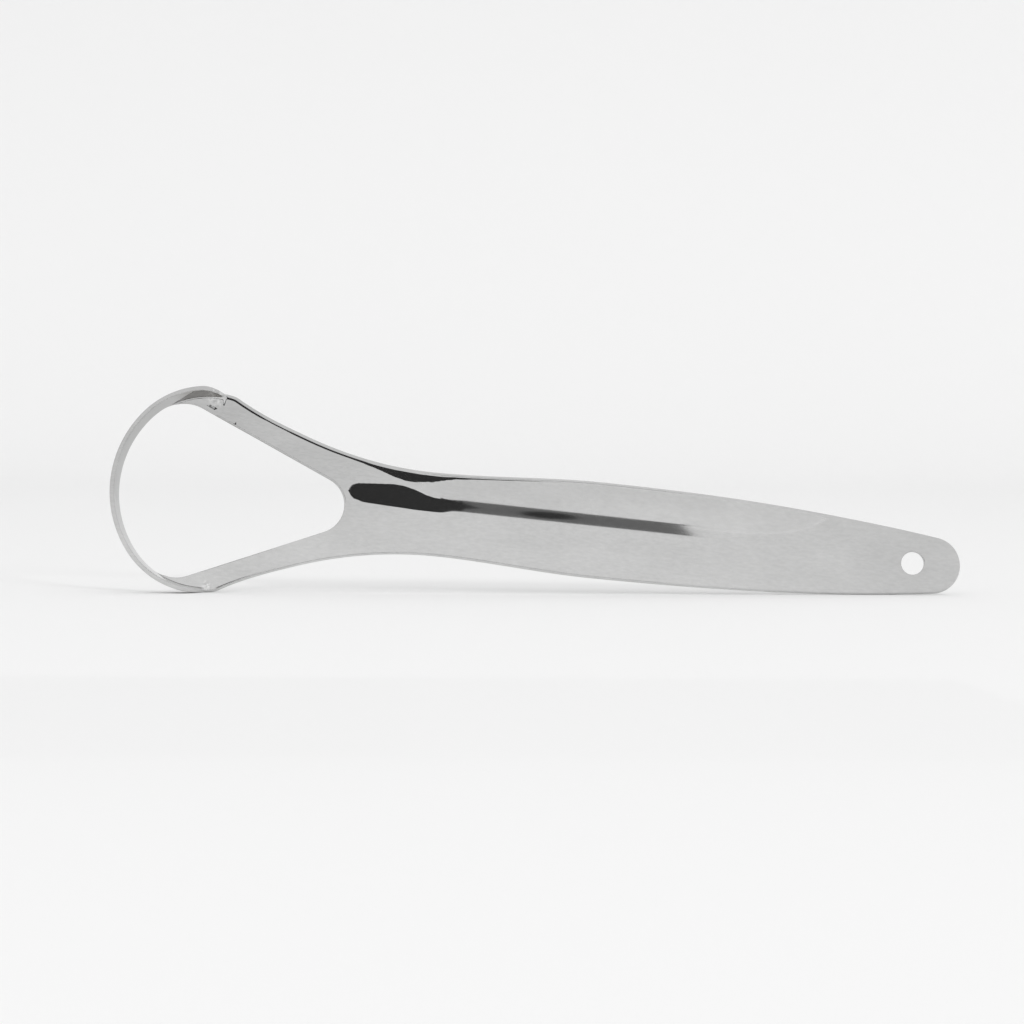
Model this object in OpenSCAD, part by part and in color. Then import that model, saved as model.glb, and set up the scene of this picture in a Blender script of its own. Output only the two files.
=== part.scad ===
// Tongue scraper pressed from one sheet of stainless steel.
// A dished handle forks into two arms, and the arms carry a loop whose band is folded up
// on edge. The scraper stands on its long edge: the foot of the band and the lower edge of
// the handle touch the floor, and the sheet leans back by the angle that the band flares.
//
// Each piece is drawn lying flat and then stood up by one placement. Lying flat, x runs from
// the front of the loop to the end of the handle, y runs across, and z rises on the side
// that the band stands on. The middle of the sheet's thickness lies at z = 0 in the arms.

/* [Sheet] */
// Length from the rim at the front of the loop to the end of the handle
total_len = 150; // [140:1:165]
// Thickness of the sheet
sheet_t = 0.8; // [0.7:0.05:1]

/* [Loop] */
// Width of the loop over the foot of its band
loop_w = 35.3; // [33.5:0.1:37.5]
// Outer radius of the front of the loop, as a share of half the loop's width
front_share = 1.088; // [1.02:0.002:1.16]
// Angle on each side of the middle line where the front arc gives way to a side arc
front_turn = 39; // [35:1:42]
// Angle that a side arc runs on past the widest place
side_turn = 12; // [8:1:15]
// Outer radius of the turn from the loop into an arm
corner_r = 3; // [2:0.5:6]
// Angle between the arm's outer edge and the middle line where the turn ends
corner_turn = 30; // [25:1:33]

/* [Band] */
// Height of the band from its back edge to its rim
band_h = 4.5; // [4:0.1:5.5]
// Angle that the band flares outwards, which is also the angle that the scraper leans back
band_flare = 7; // [5:0.5:9]
// Radius of the fold at the foot of the band, to the middle of the sheet
fold_r = 0.7; // [0.6:0.05:0.9]
// Radius of the corners of the scraping rim, which is ground flat
rim_r = 0.15; // [0.1:0.05:0.35]
// Angle before the widest place where the band reaches its full height
rise_full = 9; // [6:0.5:14]
// Angle past the widest place where the band starts to rise
rise_start = 7; // [5:0.5:11]

/* [Opening] */
// Distance from the front of the loop to the closed end of the opening
fork_x = 40.8; // [39:0.1:43]
// Radius of the closed end of the opening, between the arms
fork_r = 5; // [4.5:0.1:5.5]
// Width of an arm between the opening and the turn into the loop
arm_w = 4.4; // [3.5:0.1:5.5]
// Radius of the opening's corners, where each arm meets the band
tip_r = 6.5; // [6:0.1:7]
// Distance that the opening was punched off the middle line
opening_drop = 0.3; // [0:0.05:0.4]

/* [Handle] */
// Distance from the front of the loop to the neck, where the handle is narrowest
neck_x = 57; // [54:0.5:60]
// Width of the neck
neck_w = 14.7; // [13.5:0.1:16]
// Distance from the front of the loop to the widest part of the handle
grip_x = 85; // [80:0.5:92]
// Width of the handle at its widest
grip_w = 17; // [16:0.1:19]
// Radius of the rounded end of the handle
tail_r = 5; // [4.5:0.1:5.5]
// Angle between each edge and the middle line where the rounded end starts
tail_taper = 7.7; // [6:0.1:9]
// Diameter of the hanging hole
hole_d = 4; // [3:0.1:5]
// Distance from the end of the handle to the middle of the hanging hole
hole_inset = 8.5; // [7:0.5:12]

/* [Dishing] */
// Radius of the trough along the handle
trough_r = 20; // [15:0.5:40]
// Depth of the pocket at the fork, where the trough runs out
pocket_d = 0.35; // [0.2:0.05:0.6]
// Width of the pocket
pocket_w = 9.8; // [8:0.2:12]
// Distance that the end of the handle is bowed back
bow_d = 1.8; // [1:0.1:3]

/* [Hidden] */

steel = "silver";
// Facets round an exact arc
arc_facets = 96;
// Facets round the edge of the sheet, and round each corner of an edge
edge_facets = 4;
corner_facets = 2;
// Numbers of stations and of points across each section
handle_stations = 54;
tail_stations = 10;
handle_across = 16;
corner_stations = 24;
arm_stations = 12;
arm_across = 12;
front_stations = 20;
side_stations = 8;
band_across = 3;
// Distance that a cutter runs past what it cuts
overrun = 1;

// The arm's outer edge passes a middle station. The shares give its place from corner to
// neck, its half width between the neck's and the corner's, and its slope by the chord's.
arm_place_share = 0.352;
arm_half_share = 0.429;
arm_slope_share = 1.34;
// Places where the pocket starts and ends and where the trough starts, as shares of the way
// from the fork to the widest part, and where the trough ends, as shares of the rest
pocket_start_shares = [-0.012, 0.045];
pocket_end_shares = [0.2, 0.48];
trough_start_shares = [0.12, 0.46];
trough_end_shares = [0.35, 0.8];
// Power that draws the handle's stations together towards the fork
station_power = 1.5;
// Share of the band's height by which its rim has gone from a round edge to a flat one
rim_share = 0.6;
// Part of the half width that the rounded edge may take at the end of the handle
edge_share = 0.8;
// Part of the way to even spacing that the points of a folded section are moved
even_share = 0.15;
// Parts of a section's points that lie on its flat and on its fold
flat_points_share = 0.25;
fold_points_share = 0.75;

half_t = sheet_t / 2;
// Step over which a slope is measured
small = sheet_t / arc_facets;
fold_turn = 90 - band_flare;
fold_len = fold_r * fold_turn * PI / 180;
wall_len = (band_h - half_t - half_t * cos(fold_turn)) / sin(fold_turn);
folded_len = fold_len + wall_len;
foot_x = wall_len * cos(fold_turn);

front_r = front_share * loop_w / 2;
front_c = [foot_x + front_r, 0];
side_r = (loop_w / 2 - front_r * sin(front_turn)) / (1 - sin(front_turn));
side_c = front_c + (front_r - side_r) * [-cos(front_turn), sin(front_turn)];
corner_c = side_c + (side_r - corner_r) * out_dir(side_turn);
corner_end = corner_c + corner_r * out_dir(corner_turn);
fork_c = fork_x - fork_r;
// Angle between an arm's inner edge and the middle line
to_corner = corner_c - [fork_c, 0];
arm_angle = atan2(to_corner.x, to_corner.y) + acos((fork_r + arm_w - corner_r) / norm(to_corner));
split_x = fork_c + fork_r * sin(arm_angle);

neck_half = neck_w / 2;
grip_half = grip_w / 2;
tail_c = total_len - tail_r;
tail_start = [tail_c + tail_r * sin(tail_taper), tail_r * cos(tail_taper)];
hole_x = total_len - hole_inset;

arm_mid = [corner_end.x + arm_place_share * (neck_x - corner_end.x),
           neck_half + arm_half_share * (corner_end.y - neck_half)];
arm_mid_slope = arm_slope_share * (neck_half - corner_end.y) / (neck_x - corner_end.x);

pocket_start = places(pocket_start_shares, fork_x, grip_x);
pocket_end = places(pocket_end_shares, fork_x, grip_x);
trough_start = places(trough_start_shares, fork_x, grip_x);
trough_end = places(trough_end_shares, grip_x, total_len);

// Small helpers
function out_dir(turn) = [sin(turn), cos(turn)];
function clamp01(v) = min(1, max(0, v));
function smooth(v) = let (c = clamp01(v)) c * c * (3 - 2 * c);
function ramp(x, ends) = smooth((x - ends[0]) / (ends[1] - ends[0]));
function mix(a, b, share) = a + (b - a) * share;
function places(shares, from, to) = [for (share = shares) mix(from, to, share)];

// A fair curve between two places, given its height and slope at each
function fair(x, from, to, slope_from, slope_to) =
    let (run = to.x - from.x, s = (x - from.x) / run)
    from.y * (1 + s * s * (2 * s - 3)) + to.y * s * s * (3 - 2 * s)
    + run * s * (1 - s) * (slope_from * (1 - s) - slope_to * s);

// Half width of the handle and of the fork's outer edges at x
function half_width(x) =
    x < arm_mid.x ? fair(x, corner_end, arm_mid, -tan(corner_turn), arm_mid_slope)
    : x < neck_x ? fair(x, arm_mid, [neck_x, neck_half], arm_mid_slope, 0)
    : x < grip_x ? fair(x, [neck_x, neck_half], [grip_x, grip_half], 0, 0)
    : x < tail_start.x ? fair(x, [grip_x, grip_half], tail_start, 0, -tan(tail_taper))
    : sqrt(max(0, tail_r * tail_r - (x - tail_c) * (x - tail_c)));

// Height of the middle of the sheet: the trough, the pocket where it starts, and the bow
function bow_z(x) = -bow_d * pow(max(0, x - neck_x) / (total_len - neck_x), 2);
function bow_slope(x) = -2 * bow_d * max(0, x - neck_x) / pow(total_len - neck_x, 2);
function sheet_z(x, y) =
    let (trough = ramp(x, trough_start) * (1 - ramp(x, trough_end)),
         pocket = ramp(x, pocket_start) * (1 - ramp(x, pocket_end)))
    trough * y * y / (2 * trough_r)
    - pocket * pocket_d * (1 + cos(180 * min(1, abs(y) / (pocket_w / 2)))) / 2
    + bow_z(x);

// Section of the folded strip, as [distance outwards, height, angle] along the middle of the
// sheet. wid is the strip's width in plan and fold is the part of the band's height there.
function strip_line(wid, fold, count) =
    let (reach = fold * folded_len,
         turn = min(fold_turn, reach / fold_r * 180 / PI),
         wall = max(0, reach - fold_len),
         flat_end = -half_t - fold_r * sin(turn),
         flat = max(0, wid + flat_end),
         cut = flat > 0 ? 0 : asin(min(sin(turn), (-wid - flat_end) / (fold_r - half_t))),
         bend = fold_r * (turn - cut) * PI / 180,
         whole = flat + bend + wall,
         aligned = smooth(turn / fold_turn) * (1 - even_share))
    [for (i = [0 : count])
        let (s = i / count,
             by_part = flat * clamp01(s / flat_points_share)
                 + bend * clamp01((s - flat_points_share) / (fold_points_share - flat_points_share))
                 + wall * clamp01((s - fold_points_share) / (1 - fold_points_share)),
             len = mix(whole * s, by_part, aligned),
             a = mix(cut, turn, clamp01((len - flat) / max(bend, small))),
             on_flat = max(0, flat - len),
             up = max(0, len - flat - bend))
        [flat_end - on_flat + fold_r * sin(a) + up * cos(a),
         fold_r * (1 - cos(a)) + up * sin(a),
         a]];

// Outline of a section: one face, the outer edge with two corners of radius r, and the other
// face back
function strip_ring(line, r) =
    let (last = line[len(line) - 1], side = half_t - r)
    concat(
        [for (p = line) [p[0] - half_t * sin(p[2]), p[1] + half_t * cos(p[2])]],
        [for (face = [1, -1], k = [0 : corner_facets])
            let (a = face > 0 ? 90 - 90 * k / corner_facets : -90 * k / corner_facets,
                 out = side + r * cos(a),
                 up = face * side + r * sin(a))
            [last[0] + out * cos(last[2]) - up * sin(last[2]),
             last[1] + out * sin(last[2]) + up * cos(last[2])]],
        [for (i = [len(line) - 1 : -1 : 0])
            let (p = line[i]) [p[0] + half_t * sin(p[2]), p[1] - half_t * cos(p[2])]]);

// Radius of the outer edge's corners where the band has reached this part of its height
function corner_of(fold) = mix(mix(half_t, rim_r, 1 - edge_share), rim_r, smooth(fold / rim_share));

// The opening's inner edge beside an arm, and its corner by the band. side is 1 above the
// middle line and -1 below it, and y is taken as positive on both sides.
edge_dir = [sin(arm_angle), cos(arm_angle)];
function edge_c(side) = fork_c * edge_dir.x + fork_r - side * opening_drop * edge_dir.y;
function tip_c(side) =
    let (square = edge_c(side) - tip_r - edge_dir * side_c,
         along = sqrt(pow(side_r - sheet_t - tip_r, 2) - square * square))
    side_c + square * edge_dir + along * [-edge_dir.y, edge_dir.x];
function turn_of(p) = atan2(p.x - side_c.x, p.y - side_c.y);
function cut_turn(side) = turn_of(tip_c(side));
function straight_turn(side) = turn_of(tip_c(side) + tip_r * edge_dir);

// Width in plan of the strip at an outer point, looking inwards against dir
function width_to_edge(p, dir, side) = (edge_dir * p - edge_c(side)) / (edge_dir * dir);
function width_to_tip(turn, side) =
    let (dir = out_dir(turn), c = tip_c(side) - side_c, along = c * dir)
    side_r - along - sqrt(tip_r * tip_r - c * c + along * along);

// Stations of an arm: [outer point, turn of the section, width, part of the band's height]
function fold_share(turn) = sin(90 * clamp01((rise_start - turn) / (rise_start + rise_full)));
function arm_station_list(side) = concat(
    [for (i = [0 : corner_stations])
        let (turn = mix(cut_turn(side), side_turn, i / corner_stations),
             p = side_c + side_r * out_dir(turn),
             wid = turn < straight_turn(side) ? width_to_tip(turn, side)
                 : width_to_edge(p, out_dir(turn), side))
        [p, turn, wid, fold_share(turn)]],
    [for (i = [1 : arm_stations])
        let (first_x = side_c.x + side_r * sin(side_turn),
             x = mix(first_x, split_x, i / arm_stations),
             a = asin(clamp01((x - corner_c.x) / corner_r)),
             p = x < corner_end.x ? [x, corner_c.y + corner_r * cos(a)] : [x, half_width(x)],
             turn = side_turn * (1 - smooth(i / arm_stations)))
        [p, turn, width_to_edge(p, out_dir(turn), side), 0]]);

// Rings of points in space, lying flat
function arm_rings(side) =
    [for (st = arm_station_list(side))
        let (dir = out_dir(st[1]))
        [for (q = strip_ring(strip_line(st[2], st[3], arm_across), corner_of(st[3])))
            let (at = st[0] + q[0] * dir)
            [at.x, side * at.y, q[1] + sheet_z(at.x, at.y)]]];

function handle_x_list() = concat(
    [for (i = [0 : handle_stations])
        mix(split_x, tail_start.x, pow(i / handle_stations, station_power))],
    [for (i = [1 : tail_stations])
        tail_c + tail_r * sin(mix(tail_taper, 90, smooth(i / (tail_stations + 1))))]);

// A point on a rounded edge, at angle a round the end q of a section's middle line
function edge_point(q, edge, a) =
    [q[0] + edge * cos(a) * cos(q[2]) - half_t * sin(a) * sin(q[2]),
     q[1] + edge * cos(a) * sin(q[2]) + half_t * sin(a) * cos(q[2])];

// A section of the handle, from the middle of its lower edge round to that edge again
function handle_ring(x) =
    let (half = half_width(x),
         slope = (half_width(x + small) - half_width(x - small)) / (2 * small),
         edge = min(half_t * sqrt(1 + slope * slope), edge_share * half),
         line = [for (i = [0 : handle_across])
             let (y = (half - edge) * (2 * i / handle_across - 1),
                  rise = (sheet_z(x, y + small) - sheet_z(x, y - small)) / (2 * small))
             [y, sheet_z(x, y), atan(rise)]])
    [for (p = concat(
        [for (k = [edge_facets / 2 : edge_facets - 1])
            edge_point(line[0], edge, -90 - 180 * k / edge_facets)],
        [for (q = line) [q[0] - half_t * sin(q[2]), q[1] + half_t * cos(q[2])]],
        [for (k = [1 : edge_facets - 1])
            edge_point(line[handle_across], edge, 90 - 180 * k / edge_facets)],
        [for (i = [handle_across : -1 : 0])
            let (q = line[i]) [q[0] + half_t * sin(q[2]), q[1] - half_t * cos(q[2])]],
        [for (k = [1 : edge_facets / 2 - 1])
            edge_point(line[0], edge, -90 - 180 * k / edge_facets)]))
        [x, p[0], p[1]]];

function handle_rings() = [for (x = handle_x_list()) handle_ring(x)];

// Rings of the band round the front of the loop, from the lower arm to the upper
band_ring = strip_ring(strip_line(sheet_t, 1, band_across), rim_r);
function band_turn_list(side) = concat(
    [for (i = [0 : front_stations]) mix(-90, front_turn - 90, i / front_stations)],
    [for (i = [1 : side_stations]) mix(front_turn - 90, cut_turn(side), i / side_stations)]);
function band_rings(side) =
    [for (turn = band_turn_list(side))
        let (at_front = turn < front_turn - 90,
             centre = at_front ? front_c : side_c,
             r = at_front ? front_r : side_r)
        [for (q = band_ring)
            let (at = centre + (r + q[0]) * out_dir(turn))
            [at.x, side * at.y, q[1] + sheet_z(at.x, at.y)]]];
function reversed(list) = [for (i = [len(list) - 1 : -1 : 0]) list[i]];

// Placement: the handle is turned down until it touches the floor that the band stands on,
// and the sheet leans back. The origin is the bottom centre of the whole part's box.
function seat_angle(p) =
    let (d = p - [side_c.x, -side_c.y]) atan2(d.y, d.x) + asin(side_r / norm(d));
handle_edge = [for (x = handle_x_list()) if (x > grip_x)
    [x, -half_width(x) + sheet_z(x, half_width(x)) * tan(band_flare)]];
dip = min([for (p = handle_edge) seat_angle(p)]);
function stand(p) =
    let (x = p.x * cos(dip) + p.y * sin(dip),
         y = p.y * cos(dip) - p.x * sin(dip))
    [x, y * sin(band_flare) - p.z * cos(band_flare), y * cos(band_flare) + p.z * sin(band_flare)];
outer_points = concat(
    [for (ring = handle_rings(), p = ring) stand(p)],
    [for (side = [-1, 1], ring = concat(arm_rings(side), band_rings(side)), p = ring) stand(p)]);
low = [for (i = [0 : 2]) min([for (p = outer_points) p[i]])];
high = [for (i = [0 : 2]) max([for (p = outer_points) p[i]])];
shift = [-(low.x + high.x) / 2, -(low.y + high.y) / 2, -low.z];

module standing() {
    translate(shift) rotate([90 - band_flare, 0, 0]) rotate([0, 0, -dip]) children();
}

// Faces across an end section, from each point to the one that it faces through the sheet.
// lone is the number of points ahead of the first such pair.
function end_faces(count, lone) = concat(
    [for (j = [0 : 1 : lone - 1]) [j, j + 1, count - 1 - j]],
    [for (j = [lone : (count + lone) / 2 - 1])
        let (k = count - 1 + lone - j)
        for (half = [0, 1]) if (j + 1 + half < k) half == 0 ? [j, j + 1, k] : [j + 1, k - 1, k]]);

// Closes a row of rings into a solid
module sheet_loft(rings, lone) {
    count = len(rings[0]);
    last = len(rings) - 1;
    polyhedron(
        points = [for (ring = rings, p = ring) p],
        faces = concat(
            [for (f = end_faces(count, lone)) reversed(f)],
            [for (i = [0 : last - 1], j = [0 : count - 1], half = [0, 1])
                let (k = (j + 1) % count, a = i * count, b = a + count)
                half == 0 ? [a + j, a + k, b + k] : [a + j, b + k, b + j]],
            [for (f = end_faces(count, lone)) [for (j = f) last * count + j]]));
}

// The handle, with the closed end of the opening and the hanging hole
module handle() {
    color(steel) standing() difference() {
        sheet_loft(handle_rings(), 1);
        translate([fork_c, -opening_drop, -overrun])
            cylinder(r = fork_r, h = 2 * overrun, $fn = arc_facets);
        translate([hole_x, 0, bow_z(hole_x)]) rotate([0, -atan(bow_slope(hole_x)), 0])
            cylinder(d = hole_d, h = 2 * overrun + sheet_t, center = true, $fn = arc_facets);
    }
}

// An arm, flat at the fork and folded up into the band at its tip
module arm(side) {
    sheet_loft(side > 0 ? arm_rings(side) : reversed(arm_rings(side)), 0);
}

module upper_arm() {
    color(steel) standing() arm(1);
}

module lower_arm() {
    color(steel) standing() arm(-1);
}

// The band round the front of the loop, whose rim does the scraping
module scraping_band() {
    upper = band_rings(1);
    color(steel) standing()
        sheet_loft(concat(reversed(band_rings(-1)), [for (i = [1 : len(upper) - 1]) upper[i]]), 0);
}

handle();
upper_arm();
lower_arm();
scraping_band();
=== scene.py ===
"""Looks for a tongue scraper pressed from one sheet of stainless steel.

The scraper stands on its long edge on a pale studio floor. Its sheet is built once as a middle
surface from the same sizes as the CAD part, and a Geometry Nodes tree gives it its thickness and
its rounded edges.
"""

import logging
import math
from dataclasses import dataclass, field
from enum import Enum
from typing import Any

import bmesh
import bpy
import numpy as np
from mathutils import Euler, Matrix, Vector


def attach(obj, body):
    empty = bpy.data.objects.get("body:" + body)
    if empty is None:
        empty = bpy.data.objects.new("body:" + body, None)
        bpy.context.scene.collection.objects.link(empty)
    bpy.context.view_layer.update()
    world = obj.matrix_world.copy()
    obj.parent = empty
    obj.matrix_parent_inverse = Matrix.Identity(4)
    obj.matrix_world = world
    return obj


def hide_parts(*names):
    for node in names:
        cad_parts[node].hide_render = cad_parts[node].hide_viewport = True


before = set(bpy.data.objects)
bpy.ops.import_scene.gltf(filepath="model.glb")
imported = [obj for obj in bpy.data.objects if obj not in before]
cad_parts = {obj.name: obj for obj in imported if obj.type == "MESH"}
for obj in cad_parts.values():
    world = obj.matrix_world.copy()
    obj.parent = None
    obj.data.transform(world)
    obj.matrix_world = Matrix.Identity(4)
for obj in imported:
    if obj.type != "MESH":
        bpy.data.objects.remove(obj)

logging.basicConfig(level=logging.INFO, format="%(name)s: %(message)s")
log = logging.getLogger("scraper")

MM = 0.001


class Side(Enum):
    """The half of the scraper that a strip lies in."""

    UPPER = 1
    LOWER = -1


class Tone(Enum):
    """Greys of the studio, as linear values."""

    BLACK = 0.042
    SHADE = 0.178
    PAPER = 0.86


def clamp01(v: np.ndarray | float) -> np.ndarray | float:
    """Limits a value to the span from 0 to 1."""
    return np.clip(v, 0.0, 1.0)


def smooth(v: np.ndarray | float) -> np.ndarray | float:
    """Rises from 0 to 1 with level ends."""
    c = clamp01(v)
    return c * c * (3 - 2 * c)


def mix(a: Any, b: Any, share: Any) -> Any:
    """Goes from a to b as share goes from 0 to 1."""
    return a + (b - a) * share


def ramp(x: Any, ends: Any) -> Any:
    """Rises from 0 to 1 between two places."""
    return smooth((x - ends[0]) / (ends[1] - ends[0]))


def out_dir(turn: np.ndarray | float) -> np.ndarray:
    """Direction outwards in plan for a turn in degrees from the widest place."""
    return np.stack([np.sin(np.radians(turn)), np.cos(np.radians(turn))], axis=-1)


def unit(v: np.ndarray) -> np.ndarray:
    """Scales vectors along the last axis to length 1."""
    return v / np.linalg.norm(v, axis=-1, keepdims=True)


@dataclass(frozen=True)
class ScraperSizes:
    """Sizes of the pressed sheet in millimetres and degrees, as in the part's source."""

    total_len: float = 150.0
    sheet_t: float = 0.8
    loop_w: float = 35.3
    front_share: float = 1.088
    front_turn: float = 39.0
    side_turn: float = 12.0
    corner_r: float = 3.0
    corner_turn: float = 30.0
    band_h: float = 4.5
    band_flare: float = 7.0
    fold_r: float = 0.7
    rim_r: float = 0.15
    rise_full: float = 9.0
    rise_start: float = 7.0
    fork_x: float = 40.8
    fork_r: float = 5.0
    arm_w: float = 4.4
    tip_r: float = 6.5
    opening_drop: float = 0.3
    neck_x: float = 57.0
    neck_w: float = 14.7
    grip_x: float = 85.0
    grip_w: float = 17.0
    tail_r: float = 5.0
    tail_taper: float = 7.7
    hole_d: float = 4.0
    hole_inset: float = 8.5
    trough_r: float = 20.0
    pocket_d: float = 0.35
    pocket_w: float = 9.8
    bow_d: float = 1.8
    arm_place_share: float = 0.352
    arm_half_share: float = 0.429
    arm_slope_share: float = 1.34
    pocket_start_shares: tuple[float, float] = (-0.012, 0.045)
    pocket_end_shares: tuple[float, float] = (0.2, 0.48)
    trough_start_shares: tuple[float, float] = (0.12, 0.46)
    trough_end_shares: tuple[float, float] = (0.35, 0.8)
    rim_share: float = 0.6
    even_share: float = 0.15
    edge_round: float = 0.36
    hole_round: float = 0.2
    dip: float = 5.46342
    shift: tuple[float, float, float] = (-74.6113, 2.53006, 19.0705)


@dataclass(frozen=True)
class PressRelief:
    """Shallow relief of the polished face, as slopes across and along the handle.

    It was fitted to the dark reflections in the face and isn't in the solids. The face rolls off
    beside the outline, widest at the neck, and dips behind the fork. The two faces of the sheet are
    moved off its middle along the normals that it gives. Places are in millimetres: x runs along
    the scraper, and heights and insets run across it.

    Attributes:
        level: Height over the floor at the origin, and its change with x and with y.
        slope_levels: Slope of the pressed places by height over the floor.
        shoulder_slope: Slope along the handle above the dip.
        calm_slope: Largest slope across the handle below the dip.
        roll_starts: Inset where the upper roll starts, by x.
        roll_ends: Inset where the upper roll ends, by x.
        lower_roll_end: Inset where the lower roll ends.
        roll_softness: Softness before and after the start of a roll, and about its end.
        upper_strengths: Strength of the upper roll, by x.
        lower_strengths: Strength of the lower roll, by x.
        dip_floors: Lower border of the dip, by x.
        dip_tops: Upper border of the dip, by x.
        dip_softness: Softness about the dip's lower and upper borders.
        dip_reach: Places along x where the dip sets in and fades.
        shoulder_reach: Places along x where the shoulder sets in and fades.
        shoulder_slopes: Slopes across the handle between which the shoulder shows.
    """

    level: tuple[float, float, float] = (19.07, -0.0945, 0.988)
    slope_levels: tuple[tuple[float, float], ...] = ((3.0, 0.063), (33.0, 0.137))
    shoulder_slope: float = 0.16
    calm_slope: float = 0.02
    roll_starts: tuple[tuple[float, float], ...] = ((18.0, 0.46), (43.0, 0.5), (46.0, 0.6), (57.0, 0.6), (60.3, 0.5),
                                                    (63.4, 0.46))
    lower_roll_end: float = 0.58
    roll_softness: tuple[float, float, float] = (0.08, 0.04, 0.16)
    roll_ends: tuple[tuple[float, float], ...] = (
        (18.0, 0.9), (25.0, 0.84), (41.0, 0.82), (43.5, 0.95), (45.8, 1.2), (47.5, 1.52), (49.1, 1.86), (50.8, 2.04),
        (52.1, 2.06), (54.0, 1.92), (55.6, 1.7), (57.2, 1.4), (58.7, 1.12), (60.3, 0.92), (63.4, 0.76), (66.0, 0.7),
        (75.0, 0.64), (134.0, 0.6))
    upper_strengths: tuple[tuple[float, float], ...] = (
        (17.6, 0.0), (18.4, 1.0), (24.4, 1.0), (25.6, 0.8), (29.4, 0.8), (31.0, 1.0), (72.0, 1.0), (80.0, 0.85),
        (125.0, 0.8), (134.0, 0.0))
    lower_strengths: tuple[tuple[float, float], ...] = (
        (19.0, 0.0), (20.3, 0.55), (27.0, 0.5), (31.0, 0.4), (60.0, 0.0))
    dip_floors: tuple[tuple[float, float], ...] = (
        (41.3, 2.8), (41.7, 2.0), (42.2, 1.6), (43.0, 1.32), (44.0, 1.12), (45.8, 0.98), (47.9, 0.86), (49.1, 0.78),
        (51.6, 0.66), (53.8, 0.56), (57.6, 0.5), (60.5, 0.7))
    dip_tops: tuple[tuple[float, float], ...] = (
        (41.3, 2.8), (41.7, 3.5), (42.2, 3.85), (43.0, 4.17), (45.8, 4.45), (49.1, 4.68), (50.5, 4.5), (52.2, 4.1),
        (53.8, 3.72), (55.0, 3.28), (56.4, 2.95), (58.2, 2.76), (60.5, 2.72))
    dip_softness: tuple[float, float] = (0.18, 0.25)
    dip_reach: tuple[float, float, float, float] = (41.0, 41.3, 56.5, 60.5)
    shoulder_reach: tuple[float, float, float, float] = (45.0, 47.5, 56.5, 59.0)
    shoulder_slopes: tuple[float, float, float, float] = (0.0, 0.04, 0.17, 0.22)

    @staticmethod
    def read(table: tuple[tuple[float, float], ...], x: np.ndarray) -> np.ndarray:
        """Reads a table of places and values between its rows."""
        return np.interp(x, [row[0] for row in table], [row[1] for row in table])

    @staticmethod
    def within(x: np.ndarray, reach: tuple[float, float, float, float]) -> np.ndarray:
        """Rises from 0 to 1 between the first two places and falls back between the last two."""
        return ramp(x, reach[:2]) * (1 - ramp(x, reach[2:]))

    def slopes(self, x: np.ndarray, y: np.ndarray, inset: np.ndarray, along: np.ndarray,
               across: np.ndarray) -> tuple[np.ndarray, np.ndarray]:
        """Adds the relief to the slopes of the dished sheet.

        Args:
            x: Places along the scraper.
            y: Places across it.
            inset: Distances inside the outline.
            along: Slopes of the sheet along x.
            across: Slopes of the sheet along y.

        Returns:
            The slopes along x and along y with the relief.
        """
        upper = y > 0
        before, after, about_end = self.roll_softness
        about_floor, about_top = self.dip_softness
        end = np.where(upper, self.read(self.roll_ends, x), self.lower_roll_end)
        strength = np.where(upper, self.read(self.upper_strengths, x), self.read(self.lower_strengths, x))
        edge = np.where(upper, self.read(self.roll_starts, x), self.roll_starts[0][1])
        started = ramp(inset, (edge - before, edge + after))
        roll = started * (1 - ramp(inset, (end - about_end, end + about_end))) * strength
        top = self.read(self.dip_tops, x)
        over = ramp(y, (top - about_top, top + about_top))
        floor = self.read(self.dip_floors, x)
        in_reach = self.within(x, self.dip_reach)
        dip = ramp(y, (floor - about_floor, floor + about_floor)) * (1 - over) * in_reach
        beside = (1 - dip) * (1 - over) * in_reach
        across = mix(across, np.minimum(across, self.calm_slope), beside)
        shoulder = over * self.within(across, self.shoulder_slopes) * self.within(x, self.shoulder_reach)
        pressed = np.maximum(roll, dip)
        start, per_x, per_y = self.level
        slope = self.read(self.slope_levels, start + per_x * x + per_y * y)
        return (mix(along + shoulder * self.shoulder_slope, 0.0, pressed), mix(across, slope, pressed))


@dataclass
class Station:
    """One section across the strip of the loop.

    Attributes:
        point: Outer point in plan, above the middle line.
        turn: Direction of the section, in degrees.
        width: Width of the strip in plan.
        fold: Part of the band's height that is reached here.
        out_scale: Stretch of the outer edge's inset along the section.
        in_scale: Stretch of the inner edge's inset along the section.
    """

    point: np.ndarray
    turn: float
    width: float
    fold: float
    out_scale: float = 1.0
    in_scale: float = 1.0


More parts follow.
